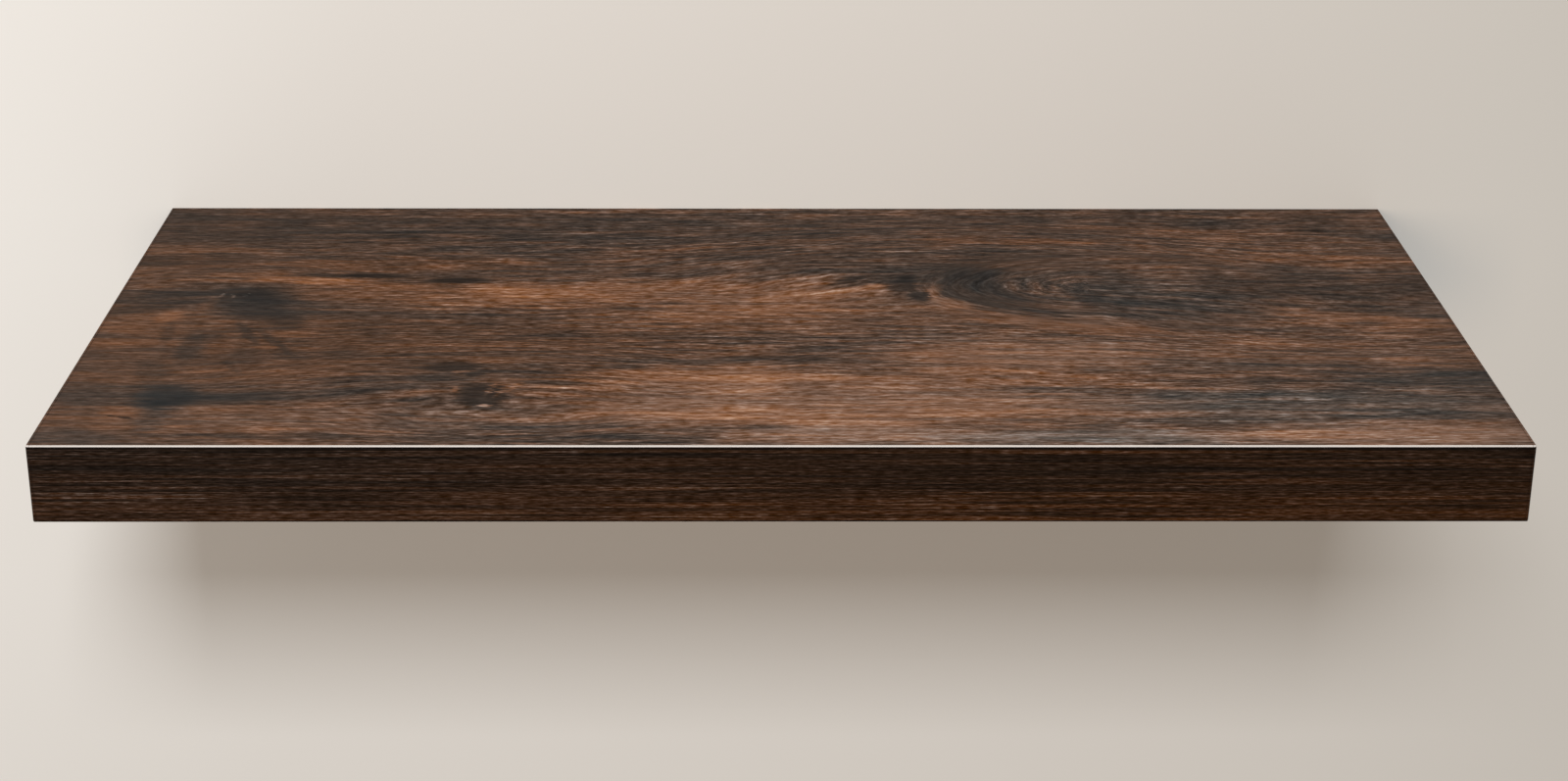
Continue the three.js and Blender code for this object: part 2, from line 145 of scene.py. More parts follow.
class Surface:
    """One material, with helpers that add nodes to its tree."""

    def __init__(self, name):
        self.material = bpy.data.materials.new(name)
        self.material.use_nodes = True
        self.tree = self.material.node_tree
        self.shader = self.tree.nodes["Principled BSDF"]
        self.output = self.tree.nodes["Material Output"]

    def feed(self, socket, value):
        if isinstance(value, Field):
            self.tree.links.new(value.socket, socket)
        else:
            socket.default_value = value

    def node(self, kind, inputs=None, output=0, **settings):
        made = self.tree.nodes.new(kind)
        for name, value in settings.items():
            setattr(made, name, value)
        for name, value in (inputs or {}).items():
            self.feed(made.inputs[name], value)
        return Field(self, made.outputs[output])

    def math(self, operation, *values):
        return self.node("ShaderNodeMath", dict(enumerate(values)), operation=operation)

    def vector_math(self, operation, *values):
        return self.node("ShaderNodeVectorMath", dict(enumerate(values)), operation=operation)

    def join(self, x, y, z=0.0):
        return self.node("ShaderNodeCombineXYZ", {"X": x, "Y": y, "Z": z})

    def even(self, value):
        """A vector that holds the same value three times."""
        return self.join(value, value, value)

    def split(self, vector):
        made = self.node("ShaderNodeSeparateXYZ", {"Vector": vector})
        return [Field(self, output) for output in made.socket.node.outputs]

    def place(self):
        """x, y and z over the piece, in millimetres."""
        metres = self.node("ShaderNodeTexCoord", output="Object")
        scale = (PER_METRE, PER_METRE, PER_METRE)
        return self.split(self.vector_math("MULTIPLY", metres, scale))

    def facing(self):
        """The three parts of the surface's outward direction, in the piece's own frame."""
        return self.split(self.node("ShaderNodeTexCoord", output="Normal"))

    def noise(self, x, y, z=0.0, detail=2.0, roughness=0.5):
        """Soft noise from 0 to 1 about 0.5, with one bump for each unit of x, y and z."""
        return self.node(
            "ShaderNodeTexNoise",
            {"Vector": self.join(x, y, z), "Scale": 1.0, "Detail": detail, "Roughness": roughness},
        )

    def ripple(self, x, y, length, width, seed=0.0, detail=2.0, roughness=0.5):
        """Soft noise about 0, with bumps of this length along x and this width along y."""
        return self.noise(x / length, y / width, seed, detail, roughness) - 0.5

    def swing(self, *parts):
        """0.5, plus how far each noise is from 0.5 times its weight."""
        tone = 0.5
        for noise, weight in parts:
            tone = tone + weight * (noise - 0.5)
        return tone

    def chips(self, x, y, z):
        """A random number from 0 to 1 in each of a set of cells, one for each unit of space."""
        cells = self.node("ShaderNodeTexVoronoi", {"Vector": self.join(x, y, z), "Scale": 1.0}, 1)
        return self.split(cells)[0]

    def ease(self, value, low, high, start=0.0, end=1.0):
        """start below low, end above high, and a smooth step between them."""
        return self.node(
            "ShaderNodeMapRange",
            {"Value": value, "From Min": low, "From Max": high, "To Min": start, "To Max": end},
            interpolation_type="SMOOTHSTEP",
        )

    def within(self, point, middle_x, middle_y, length, width, turn=0.0, fade=SOFT_SHARE):
        """1 in the middle of a turned ellipse, falling smoothly to 0 towards its rim."""
        placed = self.node(
            "ShaderNodeMapping",
            {
                "Vector": point,
                "Location": (middle_x, middle_y, 0.0),
                "Rotation": (0.0, 0.0, math.radians(turn)),
                "Scale": (length, width, 1.0),
            },
            vector_type="TEXTURE",
        )
        cone = self.node("ShaderNodeTexGradient", {"Vector": placed}, 1, gradient_type="SPHERICAL")
        return self.ease(cone, RIM_SHARE - fade, RIM_SHARE + fade)

    def blend(self, factor, a, b):
        """Colour a, turning into colour b where factor is 1."""
        made = self.tree.nodes.new("ShaderNodeMix")
        made.data_type = "RGBA"
        sockets = {socket.identifier: socket for socket in made.inputs}
        for name, value in (("Factor_Float", factor), ("A_Color", a), ("B_Color", b)):
            self.feed(sockets[name], value)
        return Field(self, next(s for s in made.outputs if s.identifier == "Result_Color"))

    def ramp(self, factor, *stops):
        """A colour from (position, colour) stops."""
        made = self.tree.nodes.new("ShaderNodeValToRGB")
        self.feed(made.inputs["Fac"], factor)
        elements = made.color_ramp.elements
        while len(elements) < len(stops):
            elements.new(0.5)
        for element, (position, colour) in zip(elements, stops):
            element.position = position
            element.color = colour
        return Field(self, made.outputs["Color"])

    def bump(self, height, depth_mm):
        """A normal from a height of 0 to 1, over a real depth."""
        return self.node(
            "ShaderNodeBump", {"Height": height, "Distance": depth_mm * MM, "Strength": 1.0}
        )

    def finish(self, colour, roughness, normal, **constants):
        """The material, with these on its shader, and any constants by their socket's name."""
        self.feed(self.shader.inputs["Base Color"], colour)
        self.feed(self.shader.inputs["Roughness"], roughness)
        self.feed(self.shader.inputs["Normal"], normal)
        for name, value in constants.items():
            self.shader.inputs[name.replace("_", " ")].default_value = value
        return self.material


# Wood decor: the figure of the top sheet
#
# Ellipses as x, y, half length, half width and turn in degrees. A positive turn lifts the
# right end towards the wall.

# Grain lines rise by the last value where they pass such a place, or dip if it is negative.
GRAIN_LIFTS = (
    (-375, -145, 110, 40, 0, 9),
    (-200, -330, 190, 70, 0, 15),
    (-184, -420, 110, 40, 0, -8),
    (130, -118, 260, 108, 0, 34),
    (450, -255, 310, 105, 0, -24),
    (60, -330, 160, 50, 4, 8),
)

# Tone and warmth added inside such a place: darker or lighter, and greyer or more copper.
TOP_FIGURE = (
    # The darker left side, the grey-brown back and its streaks
    (-400, -220, 430, 330, 0, -0.05, 0.25),
    (-230, -280, 240, 80, 0, -0.06, 0.40),
    (-260, -45, 560, 66, 0, -0.17, -0.40),
    (20, -108, 240, 42, 0, -0.12, -0.15),
    (290, -30, 300, 56, 0, -0.10, 0.00),
    (175, -75, 110, 11, 0, 0.11, 1.50),
    (110, -57, 34, 5, 0, 0.08, 0.40),
    (330, -116, 190, 14, 0, 0.01, 0.50),
    (-405, -92, 80, 9, 0, 0.13, 0.50),
    (-322, -118, 28, 6, 4, 0.09, 1.40),
    (-250, -122, 130, 20, 0, -0.04, 0.60),
    (-420, -118, 70, 20, 0, -0.12, 0.30),
    # Copper band in front of it
    (-338, -154, 66, 11, -8, 0.27, 0.90),
    (-290, -164, 60, 8, -8, 0.13, 0.70),
    (-230, -184, 170, 36, -4, 0.13, 0.80),
    (-90, -182, 200, 36, 2, 0.20, 0.60),
    (20, -198, 130, 36, 12, 0.20, 0.50),
    (142, -234, 76, 15, -28, 0.05, 0.40),
    (-10, -234, 200, 36, 2, 0.10, 0.50),
    # Two spindles
    (-322, -148, 60, 4, -3, -0.24, 0.00),
    (-278, -151, 42, 9, -4, -0.19, 0.00),
    (-228, -161, 46, 12, 3, -0.21, 0.00),
    # Upper left knot, its halo and its copper wedge
    (-362, -187, 56, 32, 0, -0.12, -0.40),
    (-340, -222, 56, 44, -20, -0.12, -0.40),
    (-425, -196, 84, 34, 8, -0.07, -0.20),
    (-424, -268, 44, 46, 12, 0.09, 0.60),
    # Smoky patch with its tails
    (-370, -371, 54, 42, 0, -0.08, -0.50),
    (-430, -366, 90, 27, 0, -0.10, -0.60),
    (-384, -405, 15, 46, 0, -0.10, -0.60),
    (-290, -362, 120, 19, 9, -0.14, -0.90),
    (-236, -405, 19, 7, 0, -0.12, -0.20),
    (-260, -410, 210, 36, 0, 0.12, -0.20),
    (-126, -360, 44, 60, 0, -0.06, 0.50),
    # Main knot
    (-208, -320, 44, 20, 0, -0.08, 0.00),
    (-186, -370, 40, 46, 0, -0.08, 0.00),
    # Red-brown lines across the middle, and the light zone in front of them
    (-90, -268, 150, 13, 2, -0.10, 0.00),
    (60, -288, 90, 14, 4, -0.08, -0.20),
    (0, -305, 58, 8, 3, -0.20, 0.30),
    (-60, -336, 120, 22, 3, 0.15, 0.70),
    (30, -380, 270, 70, 0, 0.33, 0.40),
    (150, -300, 130, 46, 0, 0.27, 0.40),
    (40, -436, 130, 26, 0, 0.28, -0.10),
    (320, -295, 210, 46, 0, 0.07, 0.00),
    # Blue-grey front right: the print's tone with a painted reflection of the room
    (330, -386, 200, 44, 0, 0.06, -1.20),
    (420, -347, 100, 22, 0, -0.24, -1.50),
    (180, -361, 100, 6, 0, -0.14, -0.50),
    (330, -372, 130, 8, 0, -0.10, -0.30),
    (410, -402, 80, 10, 0, -0.10, -0.30),
    (185, -436, 130, 18, 0, 0.24, -1.30),
    (370, -434, 170, 26, 0, 0.35, -0.10),
    # Dark streaks along the front
    (-110, -438, 160, 10, 0, -0.18, -0.50),
    (-150, -420, 80, 5, 0, -0.12, -0.30),
    (-20, -421, 70, 5, 0, -0.16, -0.20),
    (-300, -435, 130, 6, 0, -0.22, -0.30),
    (-432, -436, 54, 15, 0, -0.14, -1.00),
    # Cathedral on the right
    (112, -160, 70, 60, -20, -0.08, -0.20),
    (255, -192, 90, 62, -12, -0.15, -0.90),
    (400, -172, 150, 38, 0, -0.23, -0.30),
    (160, -128, 110, 36, 8, -0.15, -0.20),
    (178, -262, 50, 9, -14, -0.10, -0.30),
    (390, -233, 92, 13, -12, 0.20, 0.70),
    (376, -206, 64, 7, 0, -0.10, 0.10),
)

# Smaller marks with crisper edges, listed in the same way
TOP_MARKS = (
    # Upper left knot
    (-366, -183, 32, 14, 0, -0.24, -0.40),
    (-346, -192, 34, 17, -10, -0.16, -0.30),
    (-352, -216, 36, 30, -20, -0.14, -0.30),
    (-328, -238, 17, 24, 30, -0.14, -0.30),
    (-412, -188, 36, 12, 6, -0.18, -0.30),
    (-424, -213, 46, 13, 22, -0.16, -0.20),
    (-379, -188, 2, 6, -16, 0.55, -0.60),
    (-372, -191, 2, 5, 10, 0.45, -0.60),
    (-363, -188, 2, 6, -10, 0.35, -0.60),
    (-386, -206, 8, 22, -10, 0.10, 0.40),
    (-392, -236, 7, 26, -6, -0.06, 0.10),
    (-408, -232, 12, 18, -24, 0.18, 0.50),
    (-402, -262, 6, 34, 4, -0.12, -0.20),
    (-383, -288, 12, 42, 0, -0.12, -0.40),
    (-374, -266, 16, 6, 12, -0.12, -0.20),
    (-350, -262, 6, 34, 25, -0.20, -0.30),
    (-328, -280, 5, 42, 33, -0.17, -0.30),
    (-316, -300, 24, 15, -40, -0.09, -0.20),
    (-350, -322, 4, 28, 30, -0.11, -0.10),
    (-319, -264, 24, 9, 6, 0.16, 0.60),
    (-334, -287, 13, 6, 0, 0.14, 0.50),
    (-362, -290, 14, 34, 0, 0.06, 0.40),
    # Smoky patch
    (-400, -330, 16, 34, 12, -0.10, -0.20),
    (-382, -374, 28, 30, 0, -0.24, -0.90),
    (-340, -376, 60, 12, 10, -0.16, -0.30),
    (-403, -396, 22, 13, 0, 0.16, 0.50),
    (-403, -405, 12, 2, -18, -0.50, 0.30),
    # Main knot
    (-211, -322, 26, 11, 4, -0.20, 0.00),
    (-201, -330, 13, 3, 14, 0.34, 0.40),
    (-194, -336, 9, 4, 0, -0.34, 0.00),
    (-178, -346, 24, 12, 0, 0.14, 0.50),
    (-186, -370, 24, 30, 6, -0.42, -0.20),
    (-182, -360, 3, 15, -14, 0.42, 0.30),
    (-175, -364, 3, 15, -20, 0.38, 0.30),
    (-168, -357, 3, 13, -26, 0.30, 0.30),
    (-183, -387, 5, 4, 0, 0.80, 0.60),
    (-204, -360, 3, 8, 10, 0.30, 0.40),
    # Two spindles
    (-282, -150, 34, 6, -4, -0.38, 0.00),
    (-222, -159, 32, 8, 4, -0.42, 0.00),
    # Cathedral
    (48, -159, 21, 7, 36, -0.40, 0.00),
    (78, -150, 26, 7, -12, -0.18, 0.00),
    (64, -168, 10, 6, 0, 0.28, 0.70),
    (85, -168, 14, 28, -18, -0.40, -0.20),
    (95, -189, 10, 16, 8, -0.44, -0.20),
    (107, -179, 7, 22, -8, 0.22, 0.60),
    (116, -203, 26, 14, -30, 0.28, 0.40),
    (136, -142, 30, 18, 20, -0.12, -0.30),
    (182, -224, 30, 6, -28, -0.20, -0.20),
    (170, -237, 48, 8, -20, 0.14, 0.40),
    (226, -252, 52, 7, -12, 0.14, 0.50),
    (184, -168, 8, 18, 0, -0.20, -0.20),
    (166, -176, 8, 26, 14, 0.02, 0.10),
    (193, -188, 6, 34, 22, 0.04, 0.00),
    (211, -190, 15, 24, 20, -0.16, -0.20),
    (236, -205, 16, 15, 0, -0.12, -0.20),
)

# Noises here are given as their bumps' length, their width and a seed.
#
# How far noise shifts the edges of the figure and of the smaller marks, along x and along y
FIGURE_FRAY = ((46.0, (80.0, 7.0, 0.0)), (20.0, (45.0, 12.0, 7.0)))
MARKS_FRAY = ((15.0, (18.0, 2.4, 2.0)), (5.0, (10.0, 5.0, 4.0)))

# How far noise bends the grain lines, and where they start to spread towards the wall
WANDER = 4.0
WANDER_NOISE = (60.0, 24.0, 12.0)
SPREAD_Y = -200.0
SPREAD = 0.0008

# The nested arcs that open to the right: the ellipse where they show, the middle of their
# round ends, and the outer end's length and half width. To the right of it their legs lie
# twice as far apart after ARCS_SPREAD, and lean to the front by ARCS_LEAN for each mm.
# Noise makes their round ends wavy by ARCS_WAVE.
ARCS_PLACE = (225, -178, 180, 108)
ARCS_SHOW = (0.1, 0.7)
ARCS_MIDDLE = (215, -170)
ARCS_END = (105, 55)
ARCS_SPREAD = 300
ARCS_LEAN = 0.1
ARCS_WAVE = 8.0
ARCS_WAVE_NOISE = (30.0, 16.0)

# Way along an arc for each radian, and what each mm to the right adds to that
ARCS_WAY = 60.0
ARCS_WAY_GROWTH = 0.64

# Dark crescent in the arcs' round ends: its ellipse, and the arc sizes where it fades
CRESCENT = (134, -190, 74, 58)
CRESCENT_OUTER = (1.05, 0.98)
CRESCENT_INNER = (0.54, 0.62)


def flow(surface, x, y):
    """y, bent so that each grain line keeps one value, and coarser towards the wall."""
    point = surface.join(x, y)
    line = y + WANDER * surface.ripple(x, y, *WANDER_NOISE)
    for *ellipse, lift in GRAIN_LIFTS:
        line = line - lift * surface.within(point, *ellipse)
    behind = surface.math("MAXIMUM", line - SPREAD_Y, 0.0)
    return line - SPREAD * behind * behind


def frayed(surface, x, y, fray):
    """The place, shifted by noise, so that what is drawn there has frayed edges."""
    shift_x, shift_y = (shift * surface.ripple(x, y, *noise) for shift, noise in fray)
    return surface.join(x + shift_x, y + shift_y)


def figure(surface, x, y):
    """Sums the tone and the warmth of all places, with edges frayed along the grain."""
    tone = 0.0
    warmth = 0.0
    for places, fray, fade in (
        (TOP_FIGURE, FIGURE_FRAY, SOFT_SHARE),
        (TOP_MARKS, MARKS_FRAY, CRISP_SHARE),
    ):
        point = frayed(surface, x, y, fray)
        for *ellipse, lighter, warmer in places:
            inside = surface.within(point, *ellipse, fade)
            tone = surface.math("MULTIPLY_ADD", inside, lighter, tone)
            warmth = surface.math("MULTIPLY_ADD", inside, warmer, warmth)
    return tone, warmth


def arcs(surface, x, y):
    """Nested arcs: 1 where they lie, their size, 1 at the outer arc, and the way along them."""
    middle_x, middle_y = ARCS_MIDDLE
    length, half_width = ARCS_END
    wavy = ARCS_WAVE * surface.ripple(x, y, *ARCS_WAVE_NOISE)
    right = surface.math("MAXIMUM", x - middle_x, 0.0)
    across = surface.math("MINIMUM", x - middle_x + wavy, 0.0) / length
    reach = half_width + right * (half_width / ARCS_SPREAD)
    along = (y - middle_y + ARCS_LEAN * right) / reach
    size = surface.math("SQRT", across * across + along * along)
    way = surface.math("ARCTAN2", along, -across) * (ARCS_WAY + ARCS_WAY_GROWTH * right)
    where = surface.within(surface.join(x, y), *ARCS_PLACE)
    return surface.ease(where, *ARCS_SHOW), size, way


def dark_crescent(surface, x, y, size):
    """1 in the dark crescent that the arcs of some sizes form at their round ends."""
    between = surface.ease(size, *CRESCENT_OUTER) * surface.ease(size, *CRESCENT_INNER)
    return between * surface.within(surface.join(x, y), *CRESCENT)


# Fibres: their length and width, and how far hair noise is from 0 where pale and dark hairs
# start and are full
FLECK = (9.5, 2.0)
DASH = (42.0, 4.4)
STREAK = (130.0, 11.0)
HAIR = (60.0, 1.9)
PALE_HAIR = (0.08, 0.24)
DARK_HAIR = (-0.08, -0.22)
HAIR_RELIEF = 0.12


def fibres(surface, along, line, seed=0.0, reach=1.0):
    """Flecks, dashes, streaks and thin hairs that follow the grain, each about 0.

    All but the flecks are longer by reach."""
    far = along / reach
    fleck = surface.ripple(along, line, *FLECK, seed, roughness=0.65)
    dash = surface.ripple(far, line, *DASH, seed + 3.0, detail=1.0)
    streak = surface.ripple(far, line, *STREAK, seed + 5.0)
    hair = surface.ripple(far, line, *HAIR, seed + 8.0, detail=1.0)
    hairs = surface.ease(hair, *PALE_HAIR) - surface.ease(hair, *DARK_HAIR)
    return fleck, dash, streak, hairs


def fibre_relief(fleck, hairs):
    """Height of the embossed fibres, about 0.5."""
    return fleck + HAIR_RELIEF * hairs + 0.5


def weighed(parts, weights):
    """The parts added up, each times its weight."""
    first, *rest = (weight * part for part, weight in zip(parts, weights))
    return sum(rest, first)


# The top sheet's plain tone; what flecks, dashes, streaks and hairs add to it; what clouds
# and the crescent add; and what all of these but the flecks add to the warmth
TOP_TONE = 0.48
TOP_GRAIN_WEIGHTS = (0.5, 0.78, 0.45, 0.22)
TOP_PATCH_WEIGHTS = (0.30, -0.25)
TOP_WARMTH_WEIGHTS = (1.1, 2.0, -0.6, 2.0, -0.4)
# How strong the grey of painted sheen on the top's flecks is
TOP_PAINTED_SHEEN = 0.5
CLOUD_NOISE = (240.0, 30.0, 9.0)

# Warmth above the knee grows by this share only.
WARMTH_KNEE = 0.8
WARMTH_ABOVE = 0.4

# How strong the flecks or all the grain are, as two values of tone or place and the
# strengths there. At the first GRAIN_LEFT_X the strength goes by y, at the second it is 1.
FLECKS_BY_Y = (-150.0, -60.0, 1.55, 1.35)
GRAIN_IN_PALE = (-0.1, 0.5, 1.5, 0.75)
GRAIN_IN_DARK = (-0.5, -0.1, 0.4, 1.0)
GRAIN_LEFT_BY_Y = (-330.0, -60.0, 0.50, 0.65)
GRAIN_LEFT_X = (-480.0, -110.0)
GRAIN_RIGHT = (500.0, 320.0, 0.65, 1.0)
CRESCENT_CALM = 0.5
ARCS_CALM = 0.1


def grain_strength(surface, x, y, tone, crescent, on_arcs):
    """How strong the grain is: weaker in pale and near-black wood and towards the ends."""
    strength = surface.ease(tone, *GRAIN_IN_PALE) * surface.ease(tone, *GRAIN_IN_DARK)
    strength = strength * surface.ease(x, *GRAIN_LEFT_X, surface.ease(y, *GRAIN_LEFT_BY_Y))
    strength = strength * surface.ease(x, *GRAIN_RIGHT)
    return strength * (1.0 - CRESCENT_CALM * crescent) * (1.0 - ARCS_CALM * on_arcs)


def top_tone(surface, x, y):
    """Tone and warmth of the top sheet, the grey of its fibres' painted sheen and their relief."""
    line = flow(surface, x, y)
    figure_tone, figure_warmth = figure(surface, x, y)
    on_arcs, size, way = arcs(surface, x, y)
    straight = fibres(surface, x, line)
    bent = fibres(surface, way, size * ARCS_END[1])
    fleck, dash, streak, hairs = (a + on_arcs * (b - a) for a, b in zip(straight, bent))
    cloud = surface.ripple(x, line, *CLOUD_NOISE)
    crescent = dark_crescent(surface, x, y, size)
    sharp = surface.ease(y, *FLECKS_BY_Y) * fleck
    strength = grain_strength(surface, x, y, figure_tone, crescent, on_arcs)
    grain = strength * weighed((sharp, dash, streak, hairs), TOP_GRAIN_WEIGHTS)
    tone = TOP_TONE + figure_tone + grain + weighed((cloud, crescent), TOP_PATCH_WEIGHTS)
    parts = (dash, streak, hairs, cloud, crescent)
    warmth = figure_warmth + weighed(parts, TOP_WARMTH_WEIGHTS)
    above = WARMTH_ABOVE * warmth + (1.0 - WARMTH_ABOVE) * WARMTH_KNEE
    warmth = surface.math("MINIMUM", warmth, above)
    return tone, warmth, TOP_PAINTED_SHEEN * strength * sharp, fibre_relief(fleck, hairs)


# The front and the ends: how much finer their grain is than the top's, how much longer, and
# where it starts in the noise
EDGE_FINER_ALONG = 1.1
EDGE_FINER_ACROSS = 2.5
EDGE_REACH = 3.0
EDGE_START = 60.0
EDGE_GRAIN_WEIGHTS = (1.4, 1.1, 0.8, 0.5)
# How strong the grey of painted sheen on the flecks of the front and the ends is
EDGE_PAINTED_SHEEN = 1.2

# Where the edge's lower part, its onward part and the front's right end start and are full.
# The weights are what these three add to the tone, and what the first two, the streaks and
# the hairs add to the warmth.
EDGE_LOW = (12.0, -32.0)
EDGE_ONWARD = (-350.0, 150.0)
EDGE_RIGHT_END = (300.0, 430.0)
EDGE_TONE = 0.26
EDGE_TONE_WEIGHTS = (0.28, -0.03, -0.07)
EDGE_WARMTH = 0.4
EDGE_WARMTH_WEIGHTS = (0.7, 0.9, 1.6, -0.8)


def edge_tone(surface, along, across, seed):
    """Tone, warmth, painted sheen grey and relief of the straight grain on the front and the ends.
    """
    line = EDGE_FINER_ACROSS * across + EDGE_START
    parts = fibres(surface, EDGE_FINER_ALONG * along, line, seed, EDGE_REACH)
    fleck, _, streak, hairs = parts
    low = surface.ease(across, *EDGE_LOW)
    onward = surface.ease(along, *EDGE_ONWARD)
    right_end = surface.ease(along, *EDGE_RIGHT_END)
    tone = EDGE_TONE + weighed((low, onward, right_end), EDGE_TONE_WEIGHTS)
    tone = tone + weighed(parts, EDGE_GRAIN_WEIGHTS)
    warmth = EDGE_WARMTH + weighed((low, onward, streak, hairs), EDGE_WARMTH_WEIGHTS)
    return tone, warmth, EDGE_PAINTED_SHEEN * fleck, fibre_relief(fleck, hairs)


# The print's colours, at even steps of tone between the two ends of TONE_RANGE
TONE_RANGE = (-0.2, 1.2)
PRINT_COLOURS = (
    linear(29, 22, 18),
    linear(47, 37, 31),
    linear(63, 49, 40),
    linear(81, 61, 49),
    linear(104, 77, 61),
    linear(130, 97, 78),
    linear(158, 124, 104),
    linear(188, 158, 140),
)

# What warmth adds to red, green and blue, as shares of each; how much each of them counts in
# how light a colour is; and how much grey is added as painted sheen, as a share of that
WARM_TINT = (0.16, -0.05, -0.26)
LIGHT_SHARES = (0.30, 0.55, 0.15)
PAINTED_SHEEN_GAIN = 2.4


def printed(s, tone, warmth, grey):
    """The print's colour: brown by tone, tinted by warmth, with an even grey added as painted
    sheen.
    """
    darkest, palest = TONE_RANGE
    last = len(PRINT_COLOURS) - 1
    stops = ((step / last, colour) for step, colour in enumerate(PRINT_COLOURS))
    colour = s.ramp((tone - darkest) / (palest - darkest), *stops)
    tint = s.vector_math("MULTIPLY_ADD", s.even(warmth), WARM_TINT, (1.0, 1.0, 1.0))
    colour = s.vector_math("MULTIPLY", colour, tint)
    # Painted sheen: an even grey, in step with how light the colour is, lightens or darkens it
    # along the fibres
    light = s.node(
        "ShaderNodeVectorMath", {0: colour, 1: LIGHT_SHARES}, "Value", operation="DOT_PRODUCT"
    )
    return s.vector_math("ADD", colour, s.even(PAINTED_SHEEN_GAIN * light * grey))


# Painted light along the front: a painted highlight on the arris, on both faces and cut off
# just before it ends on the top; painted shade in a dark band under the arris, between two
# fades below the top; and painted shade in a dark band along the bottom edge, which fades
# above the bottom
ARRIS = 1.2
ARRIS_CUT_SHARE = 0.9
ARRIS_HIGHLIGHT_FADE = (0.16, 0.34)
UNDER_ARRIS_SHADE_UPPER = (0.8, 1.4)
UNDER_ARRIS_SHADE_LOWER = (2.8, 2.0)
UNDER_ARRIS_SHADE_STRENGTH = 0.8
RIM = (1.8, 0.6)
RIM_STRENGTH = 0.7


def front_painted_light(s, colour, y, z, ahead):
    """The colour, with painted shade under the arris and at the bottom, and a painted arris
    highlight.
    """
    depth = TOP_Z - z
    # Painted shade: a dark band just under the rounded arris
    under_arris_shade = s.ease(depth, *UNDER_ARRIS_SHADE_UPPER) * s.ease(depth, *UNDER_ARRIS_SHADE_LOWER) * ahead
    colour = s.blend(UNDER_ARRIS_SHADE_STRENGTH * under_arris_shade, colour, linear(12, 9, 8))
    # Painted shade: a dark band along the bottom edge, where the front turns under
    rim = s.ease(z - BOTTOM_Z, *RIM) * ahead
    colour = s.blend(RIM_STRENGTH * rim, colour, linear(14, 9, 7))
    # Painted highlight: a near-white line along the rounded arris
    back = y - FRONT_Y
    corner = ((ARRIS - back) / ARRIS) * ((ARRIS - depth) / ARRIS)
    corner = corner * s.ease(back, ARRIS, ARRIS_CUT_SHARE * ARRIS)
    return s.blend(s.ease(corner, *ARRIS_HIGHLIGHT_FADE), colour, linear(246, 236, 228))


# How far a face turns down, ahead or sideways where it starts to count as the underside, the
# front or an end, and where it is one. The front and the ends are darkened by painted shade.
FACES_DOWN = (-0.5, -0.6)
FACES_AHEAD = (-0.6, -0.75)
FACES_SIDEWAYS = (0.6, 0.75)
AHEAD_PAINTED_SHADE = 0.45
BESIDE_PAINTED_SHADE = 0.30
FRONT_SEED = 20.0
END_SEED = 40.0


def decor():
    """The printed foil and its edge bands. The underside has the top's print turned half round."""
    s = Surface("decor")
    x, y, z = s.place()
    out_x, out_y, out_z = s.facing()
    under = s.ease(out_z, *FACES_DOWN)
    ahead = s.ease(out_y, *FACES_AHEAD)
    beside = s.ease(s.math("ABSOLUTE", out_x), *FACES_SIDEWAYS)
    kinds = top_tone(s, x * (1.0 - 2.0 * under), y + under * (FRONT_Y - 2.0 * y))
    front = edge_tone(s, x, z, FRONT_SEED)
    end = edge_tone(s, y, z, END_SEED)
    for share, edge in ((ahead, front), (beside, end)):
        kinds = [a + share * (b - a) for a, b in zip(kinds, edge)]
    tone, warmth, grey, relief = kinds
    # Painted shade: the colour of the front and the ends is darkened by these shares
    shade = 1.0 - AHEAD_PAINTED_SHADE * ahead - BESIDE_PAINTED_SHADE * beside
    colour = s.vector_math("MULTIPLY", printed(s, tone, warmth, grey), s.even(shade))
    return s.finish(
        front_painted_light(s, colour, y, z, ahead),
        s.ease(relief, 0.3, 0.7, 0.58, 0.46),
        s.bump(relief, 0.05),
        Specular_IOR_Level=0.0,
        Coat_Weight=0.12,
        Coat_Roughness=0.35,
    )


# Raw board, paper, metal and plastic


def particleboard():
    """Pressed wood chips, coarse in the middle and fine near the faces."""
    s = Surface("particleboard")
    x, y, z = s.place()
    bent_x = x + 5.0 * s.noise(x / 6.0, y / 6.0, z / 3.0)
    bent_z = z + 2.0 * s.noise(x / 5.0, y / 5.0, z / 2.0 + 9.0)
    coarse = s.chips(bent_x / 4.5, y / 4.5, bent_z / 1.3)
    fine = s.chips(bent_x / 1.6, y / 1.6, bent_z / 0.6)
    depth = s.ease(s.math("ABSOLUTE", z), 10.0, 18.0)
    chip = coarse + depth * (fine - coarse)
    dust = s.noise(x / 0.9, y / 0.9, z / 0.9, detail=2.0)
    colour = s.ramp(
        0.75 * chip + 0.5 * dust - 0.1,
        (0.00, linear(124, 88, 60)),
        (0.20, linear(160, 122, 88)),
        (0.60, linear(192, 154, 116)),
        (1.00, linear(222, 190, 152)),
    )
    return s.finish(colour, 0.9, s.bump(0.6 * chip + 0.6 * dust, 0.25), Specular_IOR_Level=0.2)


def fibreboard():
    """Felted brown fibre, with fine hairs and soft clouds in its tone."""
    s = Surface("fibreboard")
    x, y, z = s.place()
    felt = s.noise(x / 2.4, y / 2.4, z / 0.8, detail=4.0, roughness=0.7)
    hairs = s.noise(x / 5.0, y / 0.5, z / 0.5, 2.0)
    cloud = s.noise(x / 60.0, y / 60.0, z / 60.0)
    colour = s.ramp(
        s.swing((felt, 0.9), (hairs, 0.5), (cloud, 0.5)),
        (0.25, linear(104, 76, 48)),
        (0.50, linear(137, 105, 70)),
        (0.75, linear(168, 136, 98)),
    )
    return s.finish(colour, 0.85, s.bump(felt, 0.12), Specular_IOR_Level=0.2)


# Growth rings lie about a pith this far below the board's mid height, and are wide and flat.
RING_SPACING = 2.6
PITH_DEPTH = 34.0
RING_FLATNESS = 0.02


